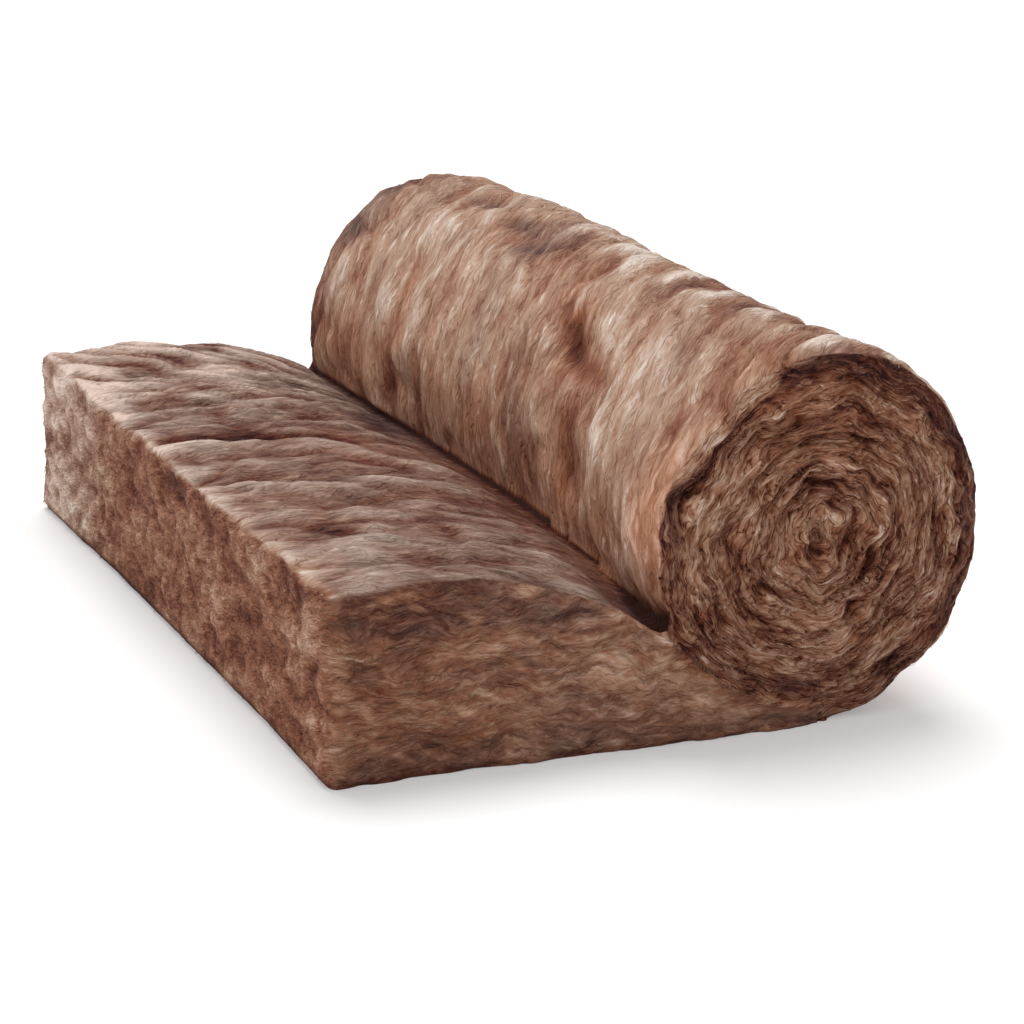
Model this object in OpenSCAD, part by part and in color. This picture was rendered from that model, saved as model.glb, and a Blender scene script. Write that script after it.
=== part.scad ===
// Roll of mineral wool insulation, partly unrolled. One blanket of wool lies flat at its free end,
// is squeezed down as it runs into the nip, and is wound without a core into the roll.
// +X runs along the blanket from the free end to the roll, +Y along the roll's axis, +Z up.
// The origin is on the floor, in the middle of the length and of the width. Millimetres.

/* [Blanket] */
// Width of the blanket, along the roll's axis
blanket_width = 1140; // [300:10:1400]
// Height of the free end, where the wool has recovered its loft
free_height = 208; // [150:1:260]
// Length of the free end that lies at its full height
flat_length = 170; // [60:5:1200]
// Length over which the wool is squeezed down from its full height to the nip
taper_length = 214; // [150:2:500]
// How much lower the taper reaches the nip at the front edge than elsewhere
front_fall = 30; // [5:1:40]
// How far in from the front edge the taper starts to fall
fall_reach = 300; // [150:10:400]
// Length of the fall at the front edge, back from the nip
fall_length = 164; // [120:2:300]

/* [Roll] */
// Height of the roll above the floor
roll_height = 412; // [340:2:600]
// Straight stretch of each turn's sides, by which the roll stands higher than it is wide
roll_stand = 19; // [4:1:60]
// Thickness of one squeezed turn, from one gap to the next
turn_pitch = 28; // [18:1:50]
// Height of the nip, the line where the roll meets the top of the free end
nip_height = 148; // [110:1:160]
// Bore of the eye, the hollow that the first turn leaves at the middle of the roll
eye_diameter = 20; // [10:1:60]

/* [Ends] */
// Depth of the gap between two turns, at each end of the roll
gap_depth = 18; // [4:1:60]
// Width of that gap where it opens on the end face
gap_width = 8; // [2:0.5:12]

/* [Relief] */
// Depth of the soft pleats across the top of the free end, where the taper starts
pleat_depth = 11; // [6:0.5:16]
// Depth of a pleat at the free end
pleat_start = 4; // [2:0.5:6]
// Width of a pleat where it is deepest
pleat_width = 68; // [40:2:90]
// Depth of the soft hollows in the outer turn of the roll
hollow_depth = 10; // [3:0.5:16]
// Width of a hollow along the roll
hollow_width = 150; // [90:2:200]

/* [Hidden] */
$fn = 120;

// How far a cutting shape stands out of the face that it cuts
overshoot = 2;

// The winding is a spiral of half turns, each a lower and an upper quarter circle with a straight
// stretch between. Each half turn is half a pitch smaller than the one before, so those on the free
// end's side are centred half a pitch higher.
half_pitch = turn_pitch / 2;
outer_r = (roll_height - roll_stand) / 2;
function half_turn_r(i) = outer_r - i * half_pitch;
function on_free_side(i) = i % 2 == 1;
function side(i) = on_free_side(i) ? -1 : 1;
// Height of the centre of a half turn's lower quarter
function half_turn_z(i) = on_free_side(i) ? outer_r + half_pitch : outer_r;

// Half turn 0 is the roll's outer face on the far side, and half turn 1 the one over the free end
last_half_turn = floor((outer_r - eye_diameter / 2 - gap_width) / half_pitch);
eye_z = outer_r + (roll_stand + half_pitch) / 2;

// The nip lies on half turn 1, this far round below the centre of its lower quarter
function angle_below(z) = asin((half_turn_z(1) - z) / half_turn_r(1));
nip_angle = angle_below(nip_height);
nip_to_axis = half_turn_r(1) * cos(nip_angle);

// Places along the blanket
total_length = flat_length + taper_length + nip_to_axis + outer_r;
free_x = -total_length / 2;
taper_x = free_x + flat_length;
nip_x = taper_x + taper_length;
axis_x = nip_x + nip_to_axis;

// The taper is an arc that leaves the flat top level and reaches the nip
taper_drop = free_height - nip_height;
taper_r = (taper_length ^ 2 + taper_drop ^ 2) / (2 * taper_drop);

// Towards the front edge the taper falls away to a slope, which meets half turn 1 lower down
front_nip_height = nip_height - front_fall;
fall_angle = atan2(free_height - front_nip_height, fall_length);
fall_way = [cos(fall_angle), -sin(fall_angle)];
nip_from_centre = [-nip_to_axis, front_nip_height - half_turn_z(1)];
fall_toward = -nip_from_centre * fall_way;
fall_run = fall_toward - sqrt(fall_toward ^ 2 + half_turn_r(1) ^ 2 - nip_from_centre * nip_from_centre);
front_nip_angle = angle_below(front_nip_height + fall_run * fall_way[1]);

// Radius of a round tool that leaves a hollow of some width and depth
function tool_r(width, depth) = (width ^ 2 / 4 + depth ^ 2) / (2 * depth);

// Places of the pleats across the width: at the free end and at the nip
PLEATS = [
    [-465, -530], [-330, -430], [-215, -310], [-95, -180],
    [90, -25], [175, 120], [265, 225], [430, 380],
];

// Places of the hollows: degrees round the roll from its foot, by way of its far side and its top,
// and the place along its axis
HOLLOWS = [
    [60, 20], [95, 290], [120, -220], [184, 340],
    [194, 130], [222, -210], [262, -300], [272, 210],
];

// Cross-section of the free end: the flat, the taper, and the wool that runs on under the roll
module free_end_section() {
    translate([free_x, 0])
        square([flat_length, free_height]);
    intersection() {
        translate([taper_x, free_height - taper_r])
            circle(taper_r);
        translate([taper_x, 0])
            square([taper_length, free_height]);
    }
    translate([free_x, 0])
        square([axis_x - free_x, nip_height]);
}

// Cross-section of one side of the roll, filled to its outer face
module roll_side_section(i) {
    r = half_turn_r(i);
    intersection() {
        translate([axis_x, half_turn_z(i)]) {
            circle(r);
            translate([0, roll_stand])
                circle(r);
            translate([-r, 0])
                square([2 * r, roll_stand]);
        }
        translate([axis_x + (side(i) - 1) / 2 * roll_height, 0])
            square([roll_height, roll_height]);
    }
}

// A cross-section, run across the width of the blanket
module across_width() {
    translate([0, blanket_width / 2, 0])
        rotate([90, 0, 0])
            linear_extrude(blanket_width)
                children();
}

// What the fall of the taper takes off at the front edge: all above a slope
module front_fall_cut() {
    size = total_length + blanket_width;
    tilt = atan(front_fall / fall_reach * cos(fall_angle));
    translate([nip_x, -blanket_width / 2, front_nip_height])
        rotate([tilt, fall_angle, 0])
            translate([-size / 2, -size / 2, 0])
                cube(size);
}

// A soft pleat, which deepens from the free end until the taper drops away below it
module pleat(place) {
    run = nip_x - free_x;
    r = tool_r(pleat_width, pleat_depth);
    dip = atan2(pleat_depth - pleat_start, flat_length);
    translate([free_x, place[0], free_height - pleat_start + r])
        rotate([0, 90 + dip, atan2(place[1] - place[0], run)])
            translate([0, 0, -pleat_width])
                cylinder(r = r, h = run + pleat_width);
}

// A soft hollow in the roll's outer face
module hollow(place) {
    angle = place[0];
    i = angle < 180 ? 0 : 1;
    rise = cos(angle) < 0 ? roll_stand : 0;
    r = tool_r(hollow_width, hollow_depth);
    translate([axis_x, place[1], half_turn_z(i) + rise])
        rotate([0, 90 - angle, 0])
            translate([half_turn_r(i) + r - hollow_depth, 0, 0])
                sphere(r);
}

module free_end() {
    difference() {
        across_width()
            free_end_section();
        front_fall_cut();
        for (place = PLEATS)
            pleat(place);
    }
}

module roll() {
    difference() {
        across_width() {
            roll_side_section(0);
            roll_side_section(1);
        }
        for (place = HOLLOWS)
            hollow(place);
    }
}

// Section of the gap between two turns at a radius: a vee, widest where it opens on the end face
module gap_section(r) {
    polygon([
        [r - gap_width / 2, overshoot],
        [r - gap_width / 2, 0],
        [r, -gap_depth],
        [r + gap_width / 2, 0],
        [r + gap_width / 2, overshoot],
    ]);
}

// The gap along the inside of one half turn, on the front end: its lower quarter, its straight
// stretch and its upper quarter. Half turn 1 is open to the air above the nip, so its gap starts there.
module half_turn_gap(i, nip_angle) {
    r = half_turn_r(i);
    foot = on_free_side(i) ? (i == 1 ? 180 + nip_angle : 180) : -90;
    foot_end = on_free_side(i) ? 270 : 0;
    translate([axis_x, -blanket_width / 2, half_turn_z(i)]) {
        rotate([90, 0, 0])
            rotate_extrude(angle = foot_end - foot, start = foot)
                gap_section(r);
        if (i > 1) {
            translate([0, 0, roll_stand])
                rotate([90, 0, 0])
                    rotate_extrude(angle = 90, start = on_free_side(i) ? 90 : 0)
                        gap_section(r);
            linear_extrude(roll_stand)
                mirror([0, 1, 0])
                    gap_section(side(i) * r);
        }
    }
}

// The turns as they show on the front end of the roll
module turn_gaps(nip_angle) {
    for (i = [1 : last_half_turn])
        half_turn_gap(i, nip_angle);
}

// The hollow left inside the first turn, from end to end
module eye() {
    translate([axis_x, 0, eye_z])
        rotate([90, 0, 0])
            cylinder(d = eye_diameter, h = blanket_width + 2 * overshoot, center = true);
}

module blanket() {
    color("#7a5a45")
        difference() {
            union() {
                free_end();
                roll();
            }
            turn_gaps(front_nip_angle);
            mirror([0, 1, 0])
                turn_gaps(nip_angle);
            eye();
        }
}

blanket();
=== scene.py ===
"""Looks of a roll of mineral wool blanket, partly unrolled.

The blanket is one soft body: a lap that lies flat at the free end and the roll that it is wound
into. Locks of fibre lie over each of its faces, along the way that the wool is combed there.
"""

import logging
import math
from collections.abc import Iterator
from contextlib import contextmanager
from dataclasses import dataclass, field
from enum import IntEnum

import bpy
import numpy as np
from mathutils.bvhtree import BVHTree
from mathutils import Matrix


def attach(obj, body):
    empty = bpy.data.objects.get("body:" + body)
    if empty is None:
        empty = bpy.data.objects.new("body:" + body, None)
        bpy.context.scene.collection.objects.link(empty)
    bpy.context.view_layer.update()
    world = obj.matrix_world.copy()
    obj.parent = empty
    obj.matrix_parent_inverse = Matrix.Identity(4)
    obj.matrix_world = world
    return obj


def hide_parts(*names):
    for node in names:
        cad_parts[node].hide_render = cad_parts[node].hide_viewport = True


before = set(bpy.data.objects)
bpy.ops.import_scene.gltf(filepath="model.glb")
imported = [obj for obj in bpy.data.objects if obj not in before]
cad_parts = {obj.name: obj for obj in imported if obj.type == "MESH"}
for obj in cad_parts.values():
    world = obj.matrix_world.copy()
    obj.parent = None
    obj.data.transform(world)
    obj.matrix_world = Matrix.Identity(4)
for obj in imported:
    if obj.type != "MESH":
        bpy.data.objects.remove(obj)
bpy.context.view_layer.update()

log = logging.getLogger("blanket")

NIP_START = -0.06
NIP_CLEAR = 0.015
COMB_STEP = 0.002
FACING_EDGE = 0.9
ABOVE_FLOOR = 0.0005
STRAND_POINTS = 11
SENSOR_WIDTH = 36.0
FLOOR_SIZE = 40
WHITE = (1.0, 1.0, 1.0, 1.0)


def ease(low: float, high: float, value: np.ndarray) -> np.ndarray:
    """Rise smoothly from 0 at low to 1 at high.

    Args:
        low: Value at which the rise starts.
        high: Value at which it ends, which may be the smaller one.
        value: Numbers to grade.

    Returns:
        One number from 0 to 1 for each value.
    """
    part = np.clip((value - low) / (high - low), 0, 1)
    return part * part * (3 - 2 * part)


def unit(vectors: np.ndarray) -> np.ndarray:
    """Scale each row of vectors to length one."""
    return vectors / np.maximum(np.linalg.norm(vectors, axis=-1, keepdims=True), 1e-12)


def stack(*columns: np.ndarray | float) -> np.ndarray:
    """Put columns side by side as points."""
    return np.stack(np.broadcast_arrays(*columns), axis=-1).astype(float)


def bell(offset: np.ndarray, width: np.ndarray | float) -> np.ndarray:
    """Fall smoothly from 1 where the offset is 0, to about a third at the width."""
    return np.exp(-((offset / width) ** 2))


class Grain:
    """Smooth noise over points in space, the same on every run."""

    def __init__(self, seed: int) -> None:
        """Shuffle the lattice for one pattern.

        Args:
            seed: Number of the pattern.
        """
        rng = np.random.default_rng(seed)
        self.order = np.tile(rng.permutation(256), 3)
        self.lean = unit(rng.normal(size=(256, 3)))

    def at(self, *place: np.ndarray | float) -> np.ndarray:
        """Read the noise.

        Args:
            place: Three coordinates, in lattice cells.

        Returns:
            A number from about -1 to 1 for each point.
        """
        points = stack(*place)
        cell = np.floor(points).astype(int)
        part = points - cell
        fade = part**3 * (part * (part * 6 - 15) + 10)
        total = np.zeros(points.shape[:-1])
        for corner in np.ndindex(2, 2, 2):
            spot = (cell + corner) & 255
            key = self.order[self.order[self.order[spot[..., 0]] + spot[..., 1]] + spot[..., 2]]
            weight = np.where(corner, fade, 1 - fade).prod(axis=-1)
            total += weight * ((part - corner) * self.lean[key]).sum(axis=-1)
        return 1.6 * total

    def cloud(self, *place: np.ndarray | float) -> np.ndarray:
        """Read the noise with two finer and fainter copies of it added."""
        return sum(self.at(*[p * 2**k + 7.3 * k for p in place]) / 2**k for k in range(3))

    def veins(self, thin: float, *place: np.ndarray | float) -> np.ndarray:
        """Draw lines where the noise changes sign, from 0 beside them to 1 on them."""
        return np.clip(1 - np.abs(self.at(*place)) / thin, 0, 1)

    def puffs(self, *place: np.ndarray | float) -> np.ndarray:
        """Raise round cushions, from 0 in the folds between them to 1."""
        return np.sqrt(np.minimum(np.abs(self.at(*place)) / 0.42, 1.0))


class Zone(IntEnum):
    """Faces of the blanket, each combed in its own way."""

    ROLL = 0
    LAP = 1
    CUT = 2
    END = 3
    SIDE = 4
    UNDER = 5


@dataclass(frozen=True)
class Section:
    """Cross-section of the blanket as it lies, in metres."""

    free_x: float = -0.3764
    half_width: float = 0.570
    centre_x: float = 0.1803
    centre_z: float = 0.213
    squeeze: float = 0.952
    start_radius: float = 0.213
    pitch: float = 0.028
    roll_skin: float = 0.004
    front_top: tuple = (
        (-0.40, 0.206), (-0.36, 0.209), (-0.30, 0.213), (-0.22, 0.213), (-0.166, 0.206), (-0.121, 0.189),
        (-0.075, 0.168), (-0.028, 0.144), (0.000, 0.132), (0.035, 0.115), (0.065, 0.086), (0.116, 0.037),
        (0.22, 0.022),
    )
    back_top: tuple = (
        (-0.40, 0.203), (-0.36, 0.204), (-0.296, 0.206), (-0.204, 0.207), (-0.157, 0.203), (-0.112, 0.196),
        (-0.041, 0.176), (0.003, 0.150), (0.043, 0.105), (0.08, 0.06), (0.12, 0.037), (0.22, 0.022),
    )

    def polar(self, points: np.ndarray) -> tuple[np.ndarray, np.ndarray]:
        """Find the angle round the roll, from its foot and up its far side, and the radius.

        Args:
            points: Places on the blanket, one in each row.

        Returns:
            Angles in radians from 0 to a full turn, and radii in the roll's unsqueezed circle.
        """
        x, _, z = points.T
        across = (x - self.centre_x) / self.squeeze
        rise = z - self.centre_z
        angle = np.mod(np.arctan2(rise, across) + math.pi / 2, 2 * math.pi)
        return angle, np.hypot(across, rise)

    def outer_radius(self, angle: np.ndarray) -> np.ndarray:
        """Radius of the roll's outer face, which winds in by one pitch in a turn."""
        return self.start_radius - self.pitch * angle / (2 * math.pi)

    def lap_top(self, points: np.ndarray) -> np.ndarray:
        """Height of the lap's top, between its profiles at the front and the back edge.

        Args:
            points: Places on the blanket, one in each row.

        Returns:
            Heights in metres.
        """
        x, y, _ = points.T
        grid = np.linspace(-0.45, 0.3, 751)
        window = np.hanning(45)
        heights = []
        for profile in (self.front_top, self.back_top):
            line = np.interp(grid, *np.transpose(profile))
            padded = np.pad(line, 22, mode="edge")
            heights.append(np.interp(x, grid, np.convolve(padded, window / window.sum(), "valid")))
        back = ease(-0.62, -0.22, y)
        return heights[0] * (1 - back) + heights[1] * back

    def lean(self, angle: np.ndarray) -> np.ndarray:
        """How steeply the combed fibre slants towards the front edge at angles round the roll."""
        degrees = np.degrees(angle)
        return 0.15 + 0.60 * ease(110, 165, degrees) * ease(250, 195, degrees)

    def slide(self, angle: np.ndarray) -> np.ndarray:
        """How far the slant has brought the fibre towards the front edge, from the roll's foot.

        Args:
            angle: Angles round the roll, in radians.

        Returns:
            Distances in metres.
        """
        grid = np.linspace(0, 2 * math.pi, 361)
        run = np.cumsum(self.lean(grid)) * (grid[1] - grid[0]) * self.start_radius
        return np.interp(angle, grid, run)

    def on_roll(self, points: np.ndarray) -> np.ndarray:
        """Tell which points belong to the roll and not to the lap that runs under it."""
        angle, radius = self.polar(points)
        return radius < self.outer_radius(angle) + self.roll_skin

    def crumple(self, points: np.ndarray) -> np.ndarray:
        """Shift places on an edge about, so that the layers read there are crumpled.

        Args:
            points: Places on the blanket, one in each row.

        Returns:
            The shifted places.
        """
        x, y, z = points.T
        side = np.where(y < 0, 0.0, 40.0)
        _, radius = self.polar(points)
        loose = 1 + 1.2 * bell(radius, 0.075) + 1.4 * bell(radius, 0.03)
        shifts = []
        for wide, narrow in ((41, 42), (48, 49)):
            shift = 0.011 * Grain(wide).at(x / 0.075, z / 0.075, side)
            shifts.append(loose * (shift + 0.005 * Grain(narrow).at(x / 0.028, z / 0.028, side)))
        return points + stack(shifts[0], 0, shifts[1])

    def layer(self, points: np.ndarray) -> np.ndarray:
        """Depth of a point below the blanket's underside, as the wool is layered on its edges.

        Args:
            points: Places on the blanket, one in each row.

        Returns:
            Distances in metres that run on without a step from the lap into the roll.
        """
        points = self.crumple(points)
        _, radius = self.polar(points)
        top = np.maximum(self.lap_top(points), 0.02)
        spread = self.pitch + 0.6 * np.maximum(top - self.pitch, 0)
        lap = self.start_radius - np.clip(points[:, 2] / top, 0, 1.2) * spread
        return np.where(self.on_roll(points), radius, lap)

    def turns(self, points: np.ndarray) -> np.ndarray:
        """Depth into the roll in turns, whole at each gap."""
        angle, radius = self.polar(self.crumple(points))
        return (self.outer_radius(angle) - radius) / self.pitch


@dataclass(frozen=True)
class Dent:
    """A soft hollow in the roll's outer face: where it is, how large and how its wool is coloured; most are
    painted darker, as painted shade in the hollow, and a few paler.
    """

    angle: float
    y: float
    around: float
    along: float
    depth: float
    tone: float = -0.05
    warm: float = 0.0
    slant: float = 0.0

    def shape(self, arc: np.ndarray, y: np.ndarray, radius: float) -> np.ndarray:
        """Give the hollow's depth, from 0 to 1, at places round and along the roll.

        Args:
            arc: Places round the roll, in metres.
            y: Places along it.
            radius: The roll's radius.

        Returns:
            One share of the depth for each place.
        """
        du = arc - math.radians(self.angle) * radius
        dv = y - self.y - self.slant * du
        return bell(du, self.around) * bell(dv, self.along)


@dataclass(frozen=True)
class Pleat:
    """A soft trough across the lap's top, deepest half way from the free end to the nip."""

    free_y: float
    nip_y: float
    tone: float = -0.06
    depth: float = 0.011
    width: float = 0.024

    def shape(self, along: np.ndarray, y: np.ndarray) -> tuple:
        """Give the trough and the ridge on its front side, each from 0 to 1.

        Args:
            along: Share of the way from the free end to the nip.
            y: Places across the lap.

        Returns:
            The trough's shape and the ridge's.
        """
        off = y - self.free_y - (self.nip_y - self.free_y) * along
        deep = np.interp(along, (0.0, 0.44, 0.78), (0.36, 1.0, 0.0))
        trough = bell(off, self.width) * deep
        ridge = bell(off + 1.7 * self.width, 1.1 * self.width) * deep
        return trough, ridge


@dataclass(frozen=True)
class Crease:
    """A fold line, as a path of places along and across a face."""

    path: tuple
    depth: float
    width: float
    lip: float = 0.0

    def shape(self, along: np.ndarray, across: np.ndarray, unit_across: float = 1.0) -> tuple:
        """Give the depth of the fold and the height of its lip, each from 0 to 1.

        Args:
            along: Places along the path's first number, in metres.
            across: Places along its second number.
            unit_across: Metres in one of the second number.

        Returns:
            The fold's shape and its lip's, on the side where the second number is smaller.
        """
        px, py = np.transpose(self.path)
        off = (across - np.interp(along, px, py)) * unit_across
        fade = ease(px[0] - 0.03, px[0] + 0.02, along) * ease(px[-1] + 0.04, px[-1] - 0.04, along)
        fold = bell(off, self.width) * fade
        lip = bell(off + 2.2 * self.width, 1.6 * self.width) * fade
        return fold, lip


def fetch(items: bpy.types.bpy_prop_collection, name: str, width: int = 1, kind: type = float) -> np.ndarray:
    """Read one property of all items of a mesh.

    Args:
        items: Vertices, faces, loops or stored values.
        name: The property.
        width: How many numbers it has.
        kind: Type of its numbers.

    Returns:
        One number for each item, or one row of numbers.
    """
    found = np.empty(len(items) * width, dtype=kind)
    items.foreach_get(name, found)
    return found.reshape(-1, width) if width > 1 else found


def write_points(mesh: bpy.types.Mesh, points: np.ndarray) -> None:
    """Move a mesh's vertices to new places."""
    mesh.vertices.foreach_set("co", points.astype(np.float32).ravel())
    mesh.update()


def deselect() -> None:
    """Leave nothing selected, so that an operator acts only on what comes next."""
    if bpy.context.mode != "OBJECT":
        bpy.ops.object.mode_set(mode="OBJECT")
    bpy.ops.object.select_all(action="DESELECT")


@contextmanager
def editing() -> Iterator[None]:
    """Keep the active object in edit mode for a while."""
    bpy.ops.object.mode_set(mode="EDIT")
    yield
    bpy.ops.object.mode_set(mode="OBJECT")


def settle() -> bpy.types.Object:
    """Apply the active object's place, turn and scale to its mesh and return it."""
    bpy.ops.object.transform_apply(location=True, rotation=True, scale=True)
    return bpy.context.active_object


def set_attribute(mesh: bpy.types.Mesh, name: str, domain: str, values: np.ndarray) -> None:
    """Store numbers on a mesh for its material to read.

    Args:
        mesh: Mesh that gets the attribute.
        name: Name that the material asks for.
        domain: POINT or CORNER.
        values: One number or one vector for each element.
    """
    vector = values.ndim == 2
    kind = "FLOAT_VECTOR" if vector else "FLOAT"
    layer = mesh.attributes.new(name, kind, domain)
    layer.data.foreach_set("vector" if vector else "value", values.astype(np.float32).ravel())


@dataclass(frozen=True)
class Stain:
    """A patch of darker wool on the lap's top: where it is, how large and how dark."""

    x: float
    y: float
    along: float
    across: float
    tone: float

    def shape(self, x: np.ndarray, y: np.ndarray) -> np.ndarray:
        """Give the patch's strength, from 0 to 1, at places along and across the lap."""
        return bell(x - self.x, self.along) * bell(y - self.y, self.across)


HOLLOWS = (
    (60, 0.020), (95, 0.290), (120, -0.220), (184, 0.340),
    (194, 0.130), (222, -0.210), (262, -0.300), (272, 0.210),
)


@dataclass
class Blanket:
    """The wool itself: the lap and the roll as one closed soft body."""

    section: Section = field(default_factory=Section)
    voxel: float = 0.0062
    softening: int = 5
    sunk: float = 0.03
    nip_x: float = 0.008
    lap_overlap: float = 0.008
    lap_cuts: int = 48
    roll_sides: int = 240
    nip_depth: float = 0.010
    # Painted shade in the nip: how much darker and warmer the wool is made there.
    nip_shade_tone: float = -0.72
    nip_shade_warm: float = 1.4
    under_tone: float = 0.35
    # Painted shade in the roll's wrinkles and painted highlight on their lips.
    wrinkle_shade_tone: float = -48.0
    wrinkle_lip_highlight: float = 14.0
    wrinkle_warm: float = 80.0
    # Painted shadow in the lap's creases and painted highlight on their lips.
    crease_shade_tone: float = -58.0
    crease_lip_highlight: float = 28.0
    crease_shade_back: float = 0.009
    zones: np.ndarray | None = field(default=None, init=False)
    dents: tuple = (
        *[Dent(angle, y, 0.032, 0.048, 0.010) for angle, y in HOLLOWS],
        Dent(262, -0.283, 0.060, 0.020, 0.005, -0.24, 0.5),
        Dent(246, -0.275, 0.022, 0.034, 0.0, -0.15, 0.5),
        Dent(283, -0.330, 0.030, 0.060, 0.0, -0.10, 0.3),
        Dent(266, -0.100, 0.040, 0.140, 0.0, -0.05, -0.2),
        Dent(198, 0.085, 0.030, 0.034, 0.003, -0.26, -0.6, 0.6),
        Dent(188, 0.190, 0.024, 0.040, 0.003, -0.26, -1.2, 0.4),
        Dent(182, 0.335, 0.026, 0.042, 0.003, -0.26, -1.2, 0.2),
        Dent(214, -0.165, 0.018, 0.020, 0.003, -0.14, 0.9, 0.3),
        Dent(208, 0.250, 0.030, 0.040, 0.0, -0.08, -0.6, 0.6),
        Dent(274, 0.252, 0.036, 0.014, 0.005, -0.36, 0.1, -0.15),
        Dent(272, 0.168, 0.034, 0.014, 0.005, -0.34, 0.1, 0.15),
        Dent(272, 0.408, 0.036, 0.013, 0.005, -0.30, 0.1, -0.1),
        Dent(262, 0.205, 0.020, 0.060, 0.0, -0.10, -0.5),
        Dent(240, -0.545, 0.060, 0.020, 0.0, 0.10, 0.3),
        Dent(222, -0.440, 0.034, 0.012, 0.002, -0.08, 0.5, 0.7),
        Dent(284, 0.500, 0.026, 0.050, 0.0, 0.16, 0.2),
    )
    wrinkles: tuple = (
        Crease(
            ((0.68, 210), (0.72, 217), (0.76, 223), (0.80, 228), (0.84, 230), (0.87, 230)),
            0.007, 0.019, 0.002,
        ),
        Crease(((0.24, 110), (0.36, 120), (0.52, 116), (0.60, 124)), 0.009, 0.013, 0.003),
        Crease(((0.62, 75), (0.74, 68), (0.90, 74)), 0.008, 0.012, 0.002),
    )
    pleats: tuple = (
        Pleat(-0.465, -0.530, -0.05),
        Pleat(-0.330, -0.430, -0.10),
        Pleat(-0.215, -0.310, -0.04),
        Pleat(-0.095, -0.180, -0.09),
        Pleat(0.090, -0.025, -0.12),
        Pleat(0.175, 0.120, -0.04),
        Pleat(0.265, 0.225, -0.08),
        Pleat(0.430, 0.380, -0.06),
    )
    stains: tuple = (
        Stain(-0.058, 0.160, 0.032, 0.075, -0.22),
        Stain(-0.195, 0.495, 0.040, 0.045, -0.26),
        Stain(-0.290, 0.400, 0.026, 0.036, -0.15),
        Stain(-0.235, 0.245, 0.026, 0.024, -0.20),
        Stain(-0.130, 0.330, 0.050, 0.040, -0.08),
        Stain(-0.220, -0.170, 0.050, 0.032, -0.09),
        Stain(-0.295, -0.347, 0.032, 0.034, -0.08),
        Stain(-0.300, -0.480, 0.022, 0.026, -0.10),
        Stain(-0.255, -0.415, 0.016, 0.020, -0.08),
    )
    creases: tuple = (
        Crease(
            ((-0.35, 0.084), (-0.30, 0.068), (-0.245, 0.062), (-0.20, 0.040), (-0.14, 0.018)),
            0.008, 0.015, 0.005,
        ),
        Crease(((-0.33, 0.268), (-0.24, 0.246), (-0.17, 0.252), (-0.09, 0.235)), 0.003, 0.009, 0.002),
        Crease(((-0.33, -0.115), (-0.29, -0.140), (-0.24, -0.170), (-0.18, -0.205)), 0.004, 0.012, 0.003),
        Crease(((-0.32, -0.320), (-0.27, -0.360), (-0.22, -0.420)), 0.003, 0.010, 0.003),
    )

    def build(self) -> bpy.types.Object:
        """Model the body, sculpt its faces and store what its material reads.

        Returns:
            The finished object.
        """
        body = self._fuse(self._lap_block(), self._roll_block())
        self._refine_edges(body)
        self._sculpt(body)
        body.name = "blanket_wool"
        body.data.name = "blanket_wool"
        return body

    def _lap_block(self) -> bpy.types.Object:
        """Lay the lap: a subdivided block whose top follows the profiles."""
        s = self.section
        end = s.centre_x + self.lap_overlap
        tall = 0.2
        deselect()
        bpy.ops.mesh.primitive_cube_add(
            size=1,
            location=((s.free_x + end) / 2, 0, tall / 2),
            scale=(end - s.free_x, 2 * s.half_width, tall),
        )
        with editing():
            bpy.ops.mesh.subdivide(number_cuts=self.lap_cuts)
        block = settle()
        points = fetch(block.data.vertices, "co", 3)
        points[:, 2] *= (s.lap_top(points) + self.sunk) / tall
        points[:, 2] -= self.sunk
        write_points(block.data, points)
        return block

    def _roll_block(self) -> bpy.types.Object:
        """Wind the roll: a cylinder drawn in to the spiral of its outer face."""
        s = self.section
        deselect()
        bpy.ops.mesh.primitive_cylinder_add(
            vertices=self.roll_sides,
            radius=0.2,
            depth=2 * s.half_width,
            location=(s.centre_x, 0, s.centre_z),
            rotation=(math.pi / 2, 0, 0),
        )
        block = settle()
        points = fetch(block.data.vertices, "co", 3)
        turn = np.arctan2(points[:, 2] - s.centre_z, points[:, 0] - s.centre_x)
        angle = np.mod(turn + math.pi / 2 + 1e-4, 2 * math.pi)
        radius = s.outer_radius(angle)
        points[:, 0] = s.centre_x + s.squeeze * radius * np.cos(turn)
        points[:, 2] = s.centre_z + radius * np.sin(turn)
        write_points(block.data, points)
        return block

    def _fuse(self, lap: bpy.types.Object, roll: bpy.types.Object) -> bpy.types.Object:
        """Join lap and roll into one skin of even faces.

        Args:
            lap: The block of the free end.
            roll: The block of the roll.

        Returns:
            One closed object.
        """
        deselect()
        roll.select_set(True)
        lap.select_set(True)
        bpy.context.view_layer.objects.active = lap
        bpy.ops.object.join()
        remesh = lap.modifiers.new("fuse", "REMESH")
        remesh.mode = "VOXEL"
        remesh.voxel_size = self.voxel
        bpy.ops.object.modifier_apply(modifier=remesh.name)
        soften = lap.modifiers.new("soften", "SMOOTH")
        soften.factor = 0.5
        soften.iterations = self.softening
        bpy.ops.object.modifier_apply(modifier=soften.name)
        bpy.ops.object.shade_smooth()
        with editing():
            bpy.ops.mesh.select_all(action="SELECT")
            bpy.ops.mesh.bisect(plane_co=(0, 0, 0), plane_no=(0, 0, 1), use_fill=True, clear_inner=True)
            bpy.ops.mesh.faces_shade_flat()
        return lap

    def _refine_edges(self, body: bpy.types.Object) -> None:
        """Halve the faces of the two edges, where the turns show.

        Args:
            body: The plain body.
        """
        mesh = body.data
        normals = fetch(mesh.polygons, "normal", 3)
        bpy.context.tool_settings.mesh_select_mode = (False, False, True)
        with editing():
            bpy.ops.mesh.select_all(action="DESELECT")
        mesh.polygons.foreach_set("select", np.abs(normals[:, 1]) > FACING_EDGE)
        with editing():
            bpy.ops.mesh.subdivide(number_cuts=1)

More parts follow.
